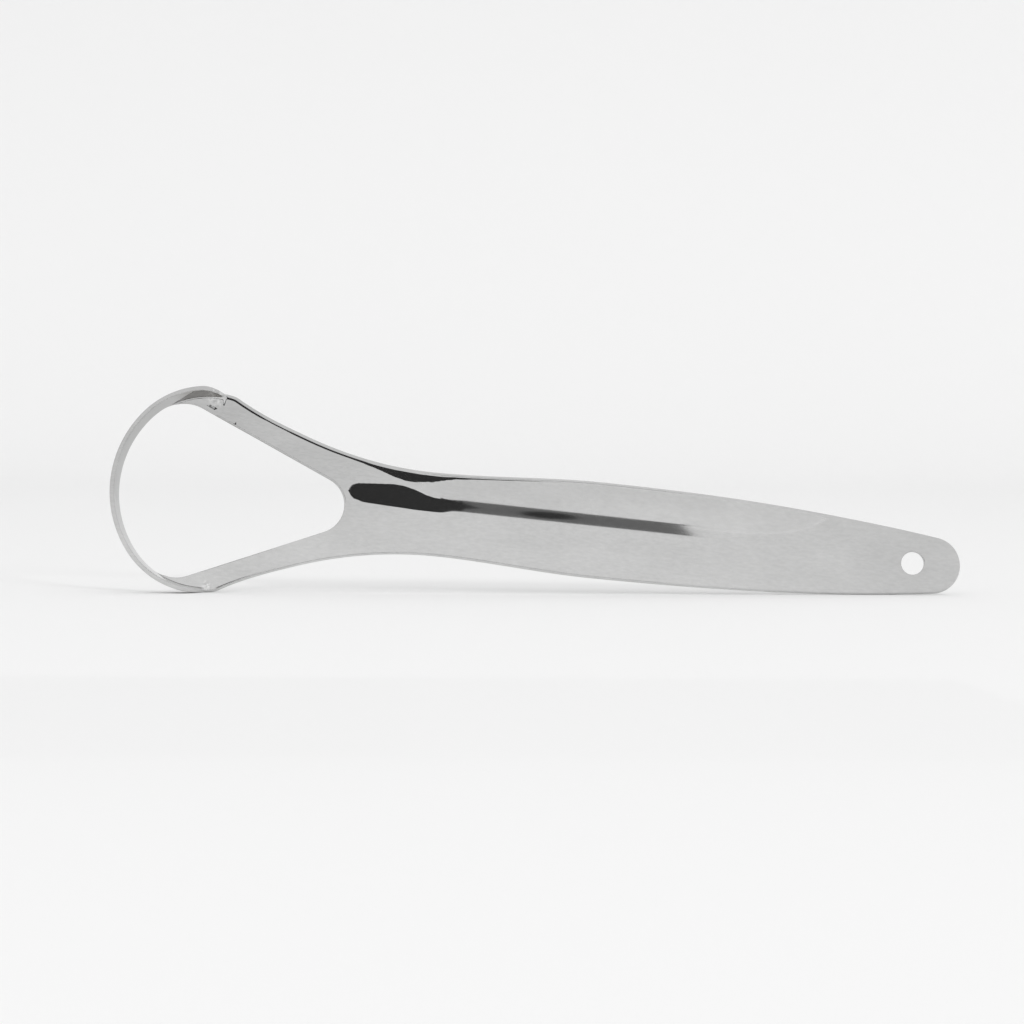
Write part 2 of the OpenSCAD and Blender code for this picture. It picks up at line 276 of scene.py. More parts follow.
@dataclass
class SheetForm:
    """The form of the sheet lying flat: outline, dishing, fold and placement."""

    sizes: ScraperSizes = field(default_factory=ScraperSizes)
    relief: PressRelief = field(default_factory=PressRelief)

    def __post_init__(self) -> None:
        """Works out the centres and places that follow from the sizes."""
        s = self.sizes
        self.half_t = s.sheet_t / 2
        self.fold_turn = 90 - s.band_flare
        self.fold_len = s.fold_r * math.radians(self.fold_turn)
        turn = math.radians(self.fold_turn)
        self.wall_len = (s.band_h - self.half_t - self.half_t * math.cos(turn)) / math.sin(turn)
        self.folded_len = self.fold_len + self.wall_len
        self.front_r = s.front_share * s.loop_w / 2
        sin_front = math.sin(math.radians(s.front_turn))
        cos_front = math.cos(math.radians(s.front_turn))
        self.front_c = np.array([self.wall_len * math.cos(turn) + self.front_r, 0.0])
        self.side_r = (s.loop_w / 2 - self.front_r * sin_front) / (1 - sin_front)
        self.side_c = self.front_c + (self.front_r - self.side_r) * np.array([-cos_front, sin_front])
        self.corner_c = self.side_c + (self.side_r - s.corner_r) * out_dir(s.side_turn)
        self.corner_end = self.corner_c + s.corner_r * out_dir(s.corner_turn)
        self.fork_c = s.fork_x - s.fork_r
        to_corner = self.corner_c - [self.fork_c, 0.0]
        self.arm_angle = math.degrees(
            math.atan2(*to_corner) + math.acos((s.fork_r + s.arm_w - s.corner_r) / np.linalg.norm(to_corner)))
        self.edge_dir = out_dir(self.arm_angle)
        self.split_x = self.fork_c + s.fork_r * self.edge_dir[0]
        self.tail_c = s.total_len - s.tail_r
        taper = math.radians(s.tail_taper)
        self.tail_start = np.array([self.tail_c + s.tail_r * math.sin(taper), s.tail_r * math.cos(taper)])
        self.hole_x = s.total_len - s.hole_inset
        neck_half = s.neck_w / 2
        run = s.neck_x - self.corner_end[0]
        self.arm_mid = np.array([self.corner_end[0] + s.arm_place_share * run,
                                 mix(neck_half, self.corner_end[1], s.arm_half_share)])
        self.arm_mid_slope = s.arm_slope_share * (neck_half - self.corner_end[1]) / run
        self.pocket_start, self.pocket_end, self.trough_start = (
            mix(s.fork_x, s.grip_x, np.array(shares))
            for shares in (s.pocket_start_shares, s.pocket_end_shares, s.trough_start_shares))
        self.trough_end = mix(s.grip_x, s.total_len, np.array(s.trough_end_shares))

    @staticmethod
    def fair(x: np.ndarray, start: Any, end: Any, slope_start: float, slope_end: float) -> np.ndarray:
        """A fair curve between two places.

        Args:
            x: Places along the scraper.
            start: Place and height at the start.
            end: Place and height at the end.
            slope_start: Slope at the start.
            slope_end: Slope at the end.

        Returns:
            The curve's height at each place.
        """
        run = end[0] - start[0]
        s = (x - start[0]) / run
        return (start[1] * (1 + s * s * (2 * s - 3)) + end[1] * s * s * (3 - 2 * s)
                + run * s * (1 - s) * (slope_start * (1 - s) - slope_end * s))

    def half_width(self, x: np.ndarray | float) -> np.ndarray:
        """Half width of the outline at x, from the corners of the loop to the end of the handle."""
        s = self.sizes
        x = np.asarray(x, float)
        neck = (s.neck_x, s.neck_w / 2)
        grip = (s.grip_x, s.grip_w / 2)
        spans = [
            (self.arm_mid[0], self.fair(x, self.corner_end, self.arm_mid,
                                        -math.tan(math.radians(s.corner_turn)), self.arm_mid_slope)),
            (s.neck_x, self.fair(x, self.arm_mid, neck, self.arm_mid_slope, 0.0)),
            (s.grip_x, self.fair(x, neck, grip, 0.0, 0.0)),
            (self.tail_start[0], self.fair(x, grip, self.tail_start, 0.0,
                                           -math.tan(math.radians(s.tail_taper)))),
        ]
        out = np.sqrt(np.maximum(0.0, s.tail_r ** 2 - (x - self.tail_c) ** 2))
        for limit, value in reversed(spans):
            out = np.where(x < limit, value, out)
        return out

    def half_slope(self, x: np.ndarray | float) -> np.ndarray:
        """Slope of the outline at x."""
        step = 1e-3
        return (self.half_width(np.asarray(x) + step) - self.half_width(np.asarray(x) - step)) / (2 * step)

    def inset_edge(self, x: np.ndarray | float) -> np.ndarray:
        """Height in plan of the line that the rounded edge starts from."""
        return self.half_width(x) - self.sizes.edge_round * np.sqrt(1 + self.half_slope(x) ** 2)

    def inset(self, x: np.ndarray, y: np.ndarray) -> np.ndarray:
        """Distance inside the outline, from the corners of the loop to the end of the handle."""
        s, y = self.sizes, np.abs(y)
        out = (self.half_width(x) - y) / np.sqrt(1 + self.half_slope(x) ** 2)
        corner = s.corner_r - np.hypot(x - self.corner_c[0], y - self.corner_c[1])
        side = self.side_r - np.hypot(x - self.side_c[0], y - self.side_c[1])
        first_x = self.side_c[0] + self.side_r * math.sin(math.radians(s.side_turn))
        return np.where(x < first_x, side, np.where(x < self.corner_end[0], corner, out))

    def height(self, x: np.ndarray, y: np.ndarray) -> np.ndarray:
        """Height of the middle of the sheet: the trough, the pocket where it starts, and the bow."""
        s = self.sizes
        trough = ramp(x, self.trough_start) * (1 - ramp(x, self.trough_end))
        pocket = ramp(x, self.pocket_start) * (1 - ramp(x, self.pocket_end))
        across = np.minimum(1.0, np.abs(y) / (s.pocket_w / 2))
        bow = -s.bow_d * (np.maximum(0.0, x - s.neck_x) / (s.total_len - s.neck_x)) ** 2
        return (trough * y * y / (2 * s.trough_r)
                - pocket * s.pocket_d * (1 + np.cos(np.pi * across)) / 2 + bow)

    def on_sheet(self, plan: np.ndarray) -> np.ndarray:
        """Lifts points in plan onto the middle of the dished sheet."""
        return np.concatenate([plan, self.height(plan[..., 0], plan[..., 1])[..., None]], axis=-1)

    def sheet_normal(self, plan: np.ndarray) -> np.ndarray:
        """Unit normals of the dished and pressed sheet at points in plan."""
        x, y, step = plan[..., 0], plan[..., 1], 2e-3
        zx = (self.height(x + step, y) - self.height(x - step, y)) / (2 * step)
        zy = (self.height(x, y + step) - self.height(x, y - step)) / (2 * step)
        zx, zy = self.relief.slopes(x, y, self.inset(x, y), zx, zy)
        return unit(np.stack([-zx, -zy, np.ones_like(zx)], axis=-1))

    def turned(self, v: np.ndarray) -> np.ndarray:
        """Turns flat vectors to the way that the scraper stands."""
        s = self.sizes
        dip, lean = math.radians(s.dip), math.radians(s.band_flare)
        x = v[..., 0] * math.cos(dip) + v[..., 1] * math.sin(dip)
        y = v[..., 1] * math.cos(dip) - v[..., 0] * math.sin(dip)
        return np.stack([x, y * math.sin(lean) - v[..., 2] * math.cos(lean),
                         y * math.cos(lean) + v[..., 2] * math.sin(lean)], axis=-1)

    def standing(self, p: np.ndarray) -> np.ndarray:
        """Places flat points, in millimetres, in the row frame, in metres."""
        return (self.turned(p) + np.array(self.sizes.shift)) * MM


@dataclass
class LoopStrip:
    """The strip that makes both arms and the scraping band, from one end of the fork to the other.

    Attributes:
        form: The form of the sheet.
        across: Steps across the strip.
        spacing: Distance between sections, in millimetres.
        edge_steps: Insets of the close steps beside the outer edge, in millimetres.
        ease_reach: Sections on either side of the rising band whose normals are evened too.
        ease_passes: How many times the normals are evened.
    """

    form: SheetForm
    across: int = 22
    spacing: float = 0.3
    edge_steps: tuple[float, ...] = (0.64, 0.42, 0.28, 0.18, 0.09, 0.0)
    ease_reach: int = 1
    ease_passes: int = 32

    def edge_c(self, side: int) -> float:
        """Distance of an arm's inner edge along its normal."""
        f, s = self.form, self.form.sizes
        return f.fork_c * f.edge_dir[0] + s.fork_r - side * s.opening_drop * f.edge_dir[1]

    def tip_c(self, side: int) -> np.ndarray:
        """Centre of the opening's corner beside an arm."""
        f, s = self.form, self.form.sizes
        square = self.edge_c(side) - s.tip_r - f.edge_dir @ f.side_c
        along = math.sqrt((f.side_r - s.sheet_t - s.tip_r) ** 2 - square ** 2)
        return f.side_c + square * f.edge_dir + along * np.array([-f.edge_dir[1], f.edge_dir[0]])

    def turn_of(self, p: np.ndarray) -> float:
        """Turn of a point round the side arc's centre, in degrees."""
        d = p - self.form.side_c
        return math.degrees(math.atan2(d[0], d[1]))

    def stations(self, side: int) -> list[Station]:
        """Lists the sections from the front of the band to the fork.

        Args:
            side: 1 above the middle line and -1 below it.

        Returns:
            The stations in order.
        """
        f, s = self.form, self.form.sizes
        tip = self.tip_c(side)
        cut_turn = self.turn_of(tip)
        straight_turn = self.turn_of(tip + s.tip_r * f.edge_dir)
        rows: list[Station] = []

        def turns(start: float, end: float, radius: float) -> np.ndarray:
            """Even turns along an arc at about the strip's spacing."""
            count = max(2, round(radius * math.radians(end - start) / self.spacing))
            return np.linspace(start, end, count + 1)

        for turn in turns(-90, s.front_turn - 90, f.front_r):
            rows.append(Station(f.front_c + f.front_r * out_dir(turn), turn, s.sheet_t, 1.0))
        for turn in turns(s.front_turn - 90, cut_turn, f.side_r)[1:-1]:
            rows.append(Station(f.side_c + f.side_r * out_dir(turn), turn, s.sheet_t, 1.0))
        for turn in turns(cut_turn, s.side_turn, f.side_r * 1.4):
            direction = out_dir(turn)
            p = f.side_c + f.side_r * direction
            if turn < straight_turn:
                c = tip - f.side_c
                along = c @ direction
                width = f.side_r - along - math.sqrt(s.tip_r ** 2 - c @ c + along ** 2)
                inward = (p - width * direction - tip) / s.tip_r
            else:
                width = (f.edge_dir @ p - self.edge_c(side)) / (f.edge_dir @ direction)
                inward = f.edge_dir
            fold = math.sin(math.pi / 2 * float(clamp01((s.rise_start - turn) / (s.rise_start + s.rise_full))))
            rows.append(Station(p, turn, width, fold, 1.0, 1 / (direction @ inward)))
        first_x = rows[-1].point[0]
        count = round((f.split_x - first_x) / self.spacing * 1.1)
        for i in range(1, count + 1):
            x = mix(first_x, f.split_x, i / count)
            if x < f.corner_end[0]:
                outward = out_dir(math.degrees(math.asin((x - f.corner_c[0]) / s.corner_r)))
                p = f.corner_c + s.corner_r * outward
            else:
                slope = float(f.half_slope(x))
                outward = unit(np.array([-slope, 1.0]))
                p = np.array([x, float(f.half_width(x))])
            turn = s.side_turn * (1 - float(smooth(i / count)))
            direction = out_dir(turn)
            width = (f.edge_dir @ p - self.edge_c(side)) / (f.edge_dir @ direction)
            rows.append(Station(p, turn, width, 0.0, 1 / (direction @ outward), 1 / (direction @ f.edge_dir)))
        return rows

    def section(self, st: Station) -> tuple[np.ndarray, float, float]:
        """Middle line of one section.

        Args:
            st: The station.

        Returns:
            Rows of distance outwards, height and angle, then the inner and the outer edge's rounding.
        """
        f, s = self.form, self.form.sizes
        reach = st.fold * f.folded_len
        turn = min(math.radians(f.fold_turn), reach / s.fold_r)
        wall = max(0.0, reach - f.fold_len)
        flat_end = -f.half_t - s.fold_r * math.sin(turn)
        flat = max(0.0, st.width + flat_end)
        cut = 0.0 if flat > 0 else math.asin(min(math.sin(turn), (-st.width - flat_end) / (s.fold_r - f.half_t)))
        bend = s.fold_r * (turn - cut)
        aligned = float(smooth(turn / math.radians(f.fold_turn))) * (1 - s.even_share)
        rim = inner = mix(s.edge_round, s.rim_r, float(smooth(st.fold / s.rim_share)))
        start = inner * st.in_scale
        end = flat + bend + wall + f.half_t - rim * st.out_scale
        stops = [start, max(start + 1e-3, flat), max(start + 2e-3, flat + bend), end]
        share = np.linspace(0, 1, self.across + 1)
        by_part = np.interp(share, [0, 0.25, 0.75, 1], stops)
        close = end - np.array(self.edge_steps) * min(1.0, (end - start) / 2)
        even = np.concatenate([np.linspace(start, close[0], self.across + 2 - len(close))[:-1], close])
        length = mix(even, by_part, aligned)
        angle = mix(cut, turn, clamp01((length - flat) / max(bend, 1e-6)))
        up = np.maximum(0, length - flat - bend)
        on_flat = np.maximum(0, flat - length)
        return np.stack([flat_end - on_flat + s.fold_r * np.sin(angle) + up * np.cos(angle),
                         s.fold_r * (1 - np.cos(angle)) + up * np.sin(angle), angle], axis=1), inner, rim

    def half(self, side: int) -> tuple[np.ndarray, np.ndarray, np.ndarray]:
        """Middle surface of one half, from the front of the band to the fork.

        Args:
            side: 1 above the middle line and -1 below it.

        Returns:
            Points, unit normals on the face that the band stands on, and edge roundings.
        """
        f = self.form
        points, guides, rounds, flat_rows, rising = [], [], [], [], []
        for st in self.stations(side):
            line, inner, rim = self.section(st)
            direction = out_dir(st.turn)
            plan = st.point + line[:, :1] * direction
            plan[:, 1] *= side
            p = f.on_sheet(plan)
            p[:, 2] += line[:, 1]
            points.append(p)
            guides.append(np.stack([-np.sin(line[:, 2]) * direction[0],
                                    -np.sin(line[:, 2]) * direction[1] * side, np.cos(line[:, 2])], axis=1))
            rounds.append(np.linspace(inner, rim, self.across + 1))
            flat_rows.append(st.fold == 0)
            rising.append(0 < st.fold < 1)
        grid = np.array(points)
        along = np.gradient(grid, axis=0)
        over = np.gradient(grid, axis=1)
        normals = unit(np.cross(along, over))
        normals *= np.sign(np.sum(normals * np.array(guides), axis=-1, keepdims=True))
        flat = np.array(flat_rows)
        normals[flat] = f.sheet_normal(grid[flat][..., :2])
        return grid, self.eased(normals, rising), np.array(rounds)

    def eased(self, normals: np.ndarray, rising: list[bool]) -> np.ndarray:
        """Evens the normals along the strip where the fold starts, so that both faces stay clear of folds.

        Args:
            normals: Unit normals, row by row.
            rising: Whether the band is part folded in each row.

        Returns:
            The evened normals.
        """
        near = np.convolve(np.array(rising, float), np.ones(2 * self.ease_reach + 1), "same") > 0
        for _ in range(self.ease_passes):
            even = (normals[:-2] + 2 * normals[1:-1] + normals[2:]) / 4
            even = unit(np.concatenate([normals[:1], even, normals[-1:]]))
            normals = np.where(near[:, None, None], even, normals)
        return normals


@dataclass
class DishedHandle:
    """The handle's middle surface, in three fields: the fork, the trough and the holed end."""

    form: SheetForm
    edge_steps: tuple[float, ...]
    fork_across: int = 30
    fork_rows: int = 26
    trough_rows: int = 210
    tail_around: int = 124
    tail_rows: int = 15
    fork_field_x: float = 49.0
    tail_field_x: float = 134.5

    def fork_line(self, top: np.ndarray, bottom: np.ndarray) -> np.ndarray:
        """Points along the closed end of the opening, between the arms' inner ends.

        Args:
            top: Inner end of the upper arm in plan.
            bottom: Inner end of the lower arm in plan.

        Returns:
            The points between the two, without them.
        """
        f, s = self.form, self.form.sizes
        radius = s.fork_r + s.edge_round
        centre = np.array([f.fork_c, -s.opening_drop])
        angles = np.radians(np.linspace(f.arm_angle, 180 - f.arm_angle, 200))
        arc = centre + radius * np.stack([np.sin(angles), np.cos(angles)], axis=1)
        line = np.vstack([top, arc, bottom])
        length = np.concatenate([[0], np.cumsum(np.linalg.norm(np.diff(line, axis=0), axis=1))])
        at = np.linspace(0, length[-1], self.fork_across + 1)[1:-1]
        return np.stack([np.interp(at, length, line[:, i]) for i in (0, 1)], axis=1)

    def across_line(self, x: float, count: int) -> np.ndarray:
        """Points across the handle at x, from the upper edge to the lower, close together by the edges."""
        edge = float(self.form.inset_edge(x))
        close = edge - np.array(self.edge_steps)[::-1]
        even = np.linspace(close[-1], -close[-1], count + 3 - 2 * len(close))[1:-1]
        return np.stack([np.full(count + 1, x), np.concatenate([close, even, -close[::-1]])], axis=1)

    def fork_field(self, start: np.ndarray) -> np.ndarray:
        """Grid in plan from the fork to a straight line across the handle.

        Args:
            start: Points across the fork, from the upper edge to the lower.

        Returns:
            The grid, with start as its first row.
        """
        count = len(start) - 1
        end = self.across_line(self.fork_field_x, count)
        u = np.linspace(0, 1, self.fork_rows + 1)[:, None, None]
        v = np.linspace(0, 1, count + 1)[None, :, None]
        grid = (1 - u) * start + u * end
        x = np.linspace(start[0, 0], self.fork_field_x, self.fork_rows + 1)
        edge = self.form.inset_edge(x)
        upper = np.stack([x, edge], axis=1)[:, None]
        lower = np.stack([x, -edge], axis=1)[:, None]
        return grid + (1 - v) * (upper - grid[:, :1]) + v * (lower - grid[:, -1:])

    def trough_field(self, count: int) -> np.ndarray:
        """Grid in plan along the trough, after the fork field's last row."""
        xs = np.linspace(self.fork_field_x, self.tail_field_x, self.trough_rows + 1)[1:]
        return np.stack([self.across_line(x, count) for x in xs])

    def tail_outline(self) -> np.ndarray:
        """Points round the end of the handle, from the lower end of its field to the upper, without both."""
        f, s = self.form, self.form.sizes
        radius = s.tail_r - s.edge_round
        turn = np.radians(np.linspace(s.tail_taper, 180 - s.tail_taper, 160))
        arc = np.stack([f.tail_c + radius * np.sin(turn), radius * np.cos(turn)], axis=1)[::-1]
        x = np.linspace(self.tail_field_x, arc[0, 0], 60)[:-1]
        edge = f.inset_edge(x)
        line = np.vstack([np.stack([x, -edge], axis=1), arc, np.stack([x, edge], axis=1)[::-1]])
        length = np.concatenate([[0], np.cumsum(np.linalg.norm(np.diff(line, axis=0), axis=1))])
        at = np.linspace(0, length[-1], self.tail_around + 1)[1:-1]
        return np.stack([np.interp(at, length, line[:, i]) for i in (0, 1)], axis=1)

    def tail_field(self, start: np.ndarray) -> np.ndarray:
        """Closed grid in plan from the outline of the holed end inwards to the hanging hole.

        Args:
            start: The trough's last row, from the upper edge to the lower.

        Returns:
            The grid, whose first row goes down start and back round the end of the handle.
        """
        f, s = self.form, self.form.sizes
        outer = np.vstack([start, self.tail_outline()])
        centre = np.array([f.hole_x, 0.0])
        bearing = np.unwrap(np.arctan2(outer[:, 1], outer[:, 0] - f.hole_x))
        even = np.linspace(bearing[0], bearing[0] + 2 * math.pi, len(outer) + 1)[:-1]
        bearing = mix(bearing, even, 0.35)
        radius = s.hole_d / 2 + s.hole_round
        inner = centre + radius * np.stack([np.cos(bearing), np.sin(bearing)], axis=1)
        u = (np.linspace(0, 1, self.tail_rows + 1) ** 0.8)[:, None, None]
        return outer + u * (inner - outer)


class SheetMesh:
    """Collects the fields of the middle surface in one mesh with shared points."""

    def __init__(self, form: SheetForm) -> None:
        """Starts an empty mesh."""
        self.form = form
        self.points: list[np.ndarray] = []
        self.normals: list[np.ndarray] = []
        self.rounds: list[np.ndarray] = []
        self.quads: list[np.ndarray] = []
        self.count = 0

    def add_points(self, points: np.ndarray, normals: np.ndarray, rounds: np.ndarray | float) -> np.ndarray:
        """Adds points and returns their numbers in the same arrangement."""
        shape = points.shape[:-1]
        size = int(np.prod(shape))
        self.points.append(points.reshape(size, 3))
        self.normals.append(normals.reshape(size, 3))
        self.rounds.append(np.broadcast_to(rounds, shape).reshape(size))
        self.count += size
        return np.arange(self.count - size, self.count).reshape(shape)

    def add_plan(self, plan: np.ndarray, rounding: float) -> np.ndarray:
        """Adds points of the dished sheet given in plan."""
        return self.add_points(self.form.on_sheet(plan), self.form.sheet_normal(plan), rounding)

    def add_grid(self, numbers: np.ndarray, closed: bool = False) -> None:
        """Adds the faces of a grid of point numbers, closed round its rows or open."""
        if closed:
            numbers = np.concatenate([numbers, numbers[:, :1]], axis=1)
        self.quads.append(np.stack([numbers[:-1, :-1], numbers[:-1, 1:], numbers[1:, 1:], numbers[1:, :-1]],
                                   axis=-1).reshape(-1, 4))

    def to_mesh(self, name: str) -> bpy.types.Mesh:
        """Makes a standing Blender mesh with the attributes that the thickness tree reads."""
        points = np.vstack(self.points)
        normals = np.vstack(self.normals)
        rounds = np.concatenate(self.rounds)
        quads = np.vstack(self.quads)
        corners = points[quads]
        facing = np.cross(corners[:, 2] - corners[:, 0], corners[:, 3] - corners[:, 1])
        turned = np.sum(facing * normals[quads].sum(axis=1), axis=1) < 0
        quads[turned] = quads[turned][:, ::-1]
        edges = np.concatenate([quads[:, [i, (i + 1) % 4]] for i in range(4)])
        known = {(int(a), int(b)) for a, b in edges}
        after = {a: b for a, b in known if (b, a) not in known}
        before = {b: a for a, b in after.items()}
        outward = np.zeros_like(points)
        for i, b in after.items():
            outward[i] = np.cross(points[b] - points[before[i]], normals[i])
            outward[i] /= np.linalg.norm(outward[i])
        mesh = bpy.data.meshes.new(name)
        mesh.from_pydata(self.form.standing(points).tolist(), [], quads.tolist())
        for key, value in (("sheet_normal", self.form.turned(normals)), ("edge_outward", self.form.turned(outward))):
            mesh.attributes.new(key, "FLOAT_VECTOR", "POINT").data.foreach_set("vector", value.ravel())
        mesh.attributes.new("edge_rounding", "FLOAT", "POINT").data.foreach_set("value", rounds * MM)
        mesh.validate()
        return mesh


class Wiring:
    """Adds nodes to a tree and joins their sockets."""

    def __init__(self, tree: bpy.types.NodeTree) -> None:
        """Works on one tree."""
        self.tree = tree

    def node(self, kind: str, **settings: Any) -> bpy.types.Node:
        """Adds a node and sets its options."""
        made = self.tree.nodes.new(kind)
        for key, value in settings.items():
            setattr(made, key, value)
        return made

    def feed(self, socket: bpy.types.NodeSocket, value: Any) -> None:
        """Joins a socket to another socket, or sets its value."""
        if isinstance(value, bpy.types.NodeSocket):
            self.tree.links.new(value, socket)
        else:
            socket.default_value = value

    @staticmethod
    def find(sockets: Any, name: str) -> bpy.types.NodeSocket:
        """The enabled socket with this name."""
        return next(s for s in sockets if s.name == name and s.enabled)

    def put(self, kind: str, inputs: dict[str, Any], output: str | None = None, **settings: Any) -> Any:
        """Adds a node with its inputs.

        Args:
            kind: Node type.
            inputs: Values or sockets by input name.
            output: Name of the output to return, or None for the node.
            **settings: The node's options.

        Returns:
            The named output socket, or the node.
        """
        made = self.node(kind, **settings)
        for name, value in inputs.items():
            self.feed(self.find(made.inputs, name), value)
        return self.find(made.outputs, output) if output else made

    def math(self, operation: str, a: Any, b: Any = 0.0, c: Any = 0.0, clamp: bool = False) -> bpy.types.NodeSocket:
        """Adds a Math node and returns its value."""
        made = self.node("ShaderNodeMath", operation=operation, use_clamp=clamp)
        for socket, value in zip(made.inputs, (a, b, c)):
            self.feed(socket, value)
        return made.outputs[0]

    def vector(self, operation: str, a: Any, b: Any = (0.0, 0.0, 0.0), scale: Any = None) -> bpy.types.NodeSocket:
        """Adds a Vector Math node and returns its vector, or its value where it gives one."""
        made = self.node("ShaderNodeVectorMath", operation=operation)
        self.feed(made.inputs[0], a)
        if scale is not None:
            self.feed(made.inputs["Scale"], scale)
        else:
            self.feed(made.inputs[1], b)
        return made.outputs["Value" if operation in ("DOT_PRODUCT", "DISTANCE", "LENGTH") else "Vector"]


class SheetThickness:
    """Geometry Nodes tree that gives a middle surface its thickness and its rounded edges."""

    def __init__(self) -> None:
        """Builds the tree."""
        self.tree = bpy.data.node_groups.new("sheet_thickness", "GeometryNodeTree")
        face = self.tree.interface
        face.new_socket("Geometry", in_out="INPUT", socket_type="NodeSocketGeometry")
        self.thickness = face.new_socket("Sheet Thickness", in_out="INPUT", socket_type="NodeSocketFloat")
        self.steps = face.new_socket("Corner Steps", in_out="INPUT", socket_type="NodeSocketInt")
        self.finish = face.new_socket("Finish", in_out="INPUT", socket_type="NodeSocketMaterial")
        face.new_socket("Geometry", in_out="OUTPUT", socket_type="NodeSocketGeometry")
        w = Wiring(self.tree)
        given = w.node("NodeGroupInput")
        sheet = given.outputs["Geometry"]
        half = w.math("MULTIPLY", given.outputs["Sheet Thickness"], 0.5)
        normal = self.read(w, "sheet_normal", "FLOAT_VECTOR")
        outward = self.read(w, "edge_outward", "FLOAT_VECTOR")
        rounding = self.read(w, "edge_rounding", "FLOAT")
        middle = self.read(w, "middle_place", "FLOAT_VECTOR")
        sheet = self.store(w, sheet, "middle_place", "FLOAT_VECTOR", "POINT",
                           w.put("GeometryNodeInputPosition", {}, "Position"))
        front = self.face(w, sheet, normal, half, 1.0)
        back = w.put("GeometryNodeFlipFaces", {"Mesh": self.face(w, sheet, normal, half, -1.0)}, "Mesh")
        edge = self.edge(w, sheet, given.outputs["Corner Steps"], half, normal, outward, rounding, middle)
        joined = w.node("GeometryNodeJoinGeometry")
        for part in (edge, back, front):
            w.tree.links.new(part, joined.inputs[0])
        merged = w.put("GeometryNodeMergeByDistance", {"Geometry": joined.outputs[0], "Distance": 1e-7}, "Geometry")
        shaded = w.put("GeometryNodeSetShadeSmooth", {"Geometry": merged}, "Geometry")
        real = w.put("GeometryNodeRealizeInstances", {"Geometry": shaded}, "Geometry")
        done = w.put("GeometryNodeSetMaterial", {"Geometry": real, "Material": given.outputs["Finish"]}, "Geometry")
        w.put("NodeGroupOutput", {"Geometry": done})

    @staticmethod
    def read(w: Wiring, name: str, kind: str) -> bpy.types.NodeSocket:
        """Reads a named attribute."""
        return w.put("GeometryNodeInputNamedAttribute", {"Name": name}, "Attribute", data_type=kind)

    @staticmethod
    def store(w: Wiring, geometry: Any, name: str, kind: str, domain: str, value: Any, where: Any = True) -> Any:
        """Stores a named attribute and returns the geometry."""
        made = w.node("GeometryNodeStoreNamedAttribute", data_type=kind, domain=domain)
        for key, given in (("Geometry", geometry), ("Selection", where), ("Name", name), ("Value", value)):
            w.feed(w.find(made.inputs, key), given)
        return made.outputs["Geometry"]

    def face(self, w: Wiring, sheet: Any, normal: Any, half: Any, sign: float) -> Any:
        """One face of the sheet, moved off the middle surface along its normal."""
        toward = w.vector("SCALE", normal, scale=sign)
        moved = w.put("GeometryNodeSetPosition", {"Geometry": sheet, "Offset": w.vector("SCALE", toward, scale=half)},
                      "Geometry")
        return self.store(w, moved, "shade_normal", "FLOAT_VECTOR", "POINT", toward)

    def edge(self, w: Wiring, sheet: Any, steps: Any, half: Any, normal: Any, outward: Any, rounding: Any,
             middle: Any) -> Any:
        """The rounded edge, drawn round every open side of the middle surface in small steps."""
        neighbours = w.put("GeometryNodeInputMeshEdgeNeighbors", {}, "Face Count")
        compare = w.node("FunctionNodeCompare", data_type="INT", operation="EQUAL")
        w.feed(w.find(compare.inputs, "A"), neighbours)
        w.feed(w.find(compare.inputs, "B"), 1)
        kept = w.put("GeometryNodeSeparateGeometry", {"Geometry": sheet, "Selection": compare.outputs[0]}, "Selection",
                     domain="EDGE")
        bare = w.put("GeometryNodeDeleteGeometry", {"Geometry": kept}, "Geometry", domain="FACE", mode="ONLY_FACE")
        bare = w.put("GeometryNodeSetPosition", {"Geometry": bare, "Offset": w.vector("SCALE", normal, scale=half)},
                     "Geometry")
        bare = self.store(w, bare, "shade_normal", "FLOAT_VECTOR", "POINT", normal)
        bare = self.store(w, bare, "free_side", "BOOLEAN", "EDGE", True)
        into, out = w.node("GeometryNodeRepeatInput"), w.node("GeometryNodeRepeatOutput")
        into.pair_with_output(out)
        w.feed(into.inputs["Iterations"], w.math("MULTIPLY_ADD", steps, 2.0, 1.0))
        w.feed(into.inputs["Geometry"], bare)
        step = w.math("ADD", into.outputs["Iteration"], 1.0)
        lower = w.math("GREATER_THAN", step, w.math("ADD", steps, 0.5))
        turn = w.math("MULTIPLY", w.math("SUBTRACT", 1.0, w.math("DIVIDE", w.math("SUBTRACT", step, lower), steps)),
                      math.pi / 2)
        sine, cosine = w.math("SINE", turn), w.math("COSINE", turn)
        flat = w.math("MULTIPLY", w.math("SUBTRACT", half, rounding), w.math("MULTIPLY_ADD", lower, -2.0, 1.0))
        lift = w.math("MULTIPLY_ADD", rounding, sine, flat)
        place = w.vector("ADD", w.vector("ADD", middle,
                                         w.vector("SCALE", outward, scale=w.math("MULTIPLY", rounding, cosine))),
                         w.vector("SCALE", normal, scale=lift))
        shade = w.vector("ADD", w.vector("SCALE", outward, scale=cosine), w.vector("SCALE", normal, scale=sine))
        extrude = w.put("GeometryNodeExtrudeMesh",
                        {"Mesh": into.outputs["Geometry"], "Selection": self.read(w, "free_side", "BOOLEAN"),
                         "Offset": (0.0, 0.0, 0.0), "Offset Scale": 0.0}, mode="EDGES")
        top = extrude.outputs["Top"]
        grown = w.put("GeometryNodeSetPosition",
                      {"Geometry": extrude.outputs["Mesh"], "Selection": top, "Position": place}, "Geometry")
        grown = self.store(w, grown, "shade_normal", "FLOAT_VECTOR", "POINT", shade, top)
        grown = self.store(w, grown, "free_side", "BOOLEAN", "EDGE", top)
        w.feed(out.inputs["Geometry"], grown)
        return out.outputs["Geometry"]

